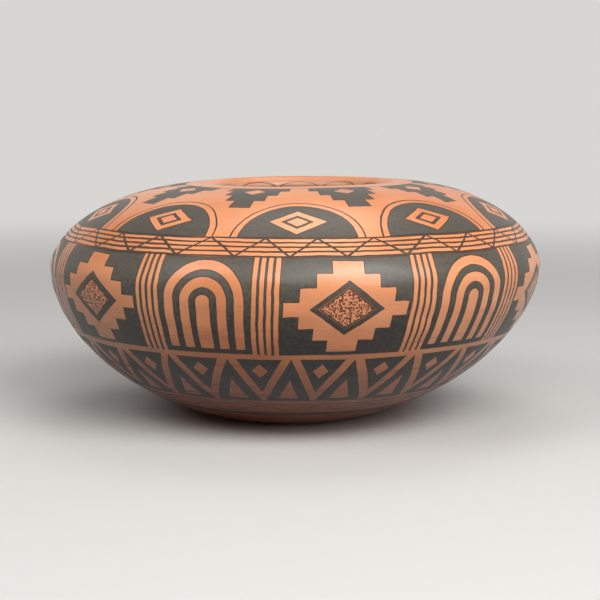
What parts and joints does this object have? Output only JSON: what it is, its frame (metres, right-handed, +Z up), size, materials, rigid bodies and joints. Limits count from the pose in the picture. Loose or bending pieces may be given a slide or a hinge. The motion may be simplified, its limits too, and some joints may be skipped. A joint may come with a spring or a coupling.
{
  "type": "pottery bowl",
  "caption": "Wide, low hand-coiled clay bowl with an in-curving shoulder, a small round mouth and a flat base, built up from a base pat and ropes of clay, and leaning slightly to one side.",
  "frame": {"origin": "centre of the flat resting face under the bowl", "axes": "+Z up out of the bowl's mouth; X and Y are level, and +X is the side that the hand-made bowl leans to, seen to the right in the picture"},
  "size_m": [0.2498, 0.2496, 0.119],
  "materials": {
    "bare_clay": "burnished orange clay without paint",
    "painted_slip": "burnished orange slip with grey-black and red-brown brushwork, satin"
  },
  "bodies": {
    "root": {"base_pat": "bare_clay", "wall_coil_01": "painted_slip", "wall_coil_02": "painted_slip", "wall_coil_03": "painted_slip", "wall_coil_04": "painted_slip", "wall_coil_05": "painted_slip", "wall_coil_06": "painted_slip", "wall_coil_07": "painted_slip", "wall_coil_08": "painted_slip", "wall_coil_09": "painted_slip", "wall_coil_10": "painted_slip", "wall_coil_11": "painted_slip", "rim_coil": "painted_slip"}
  },
  "joints": []
}
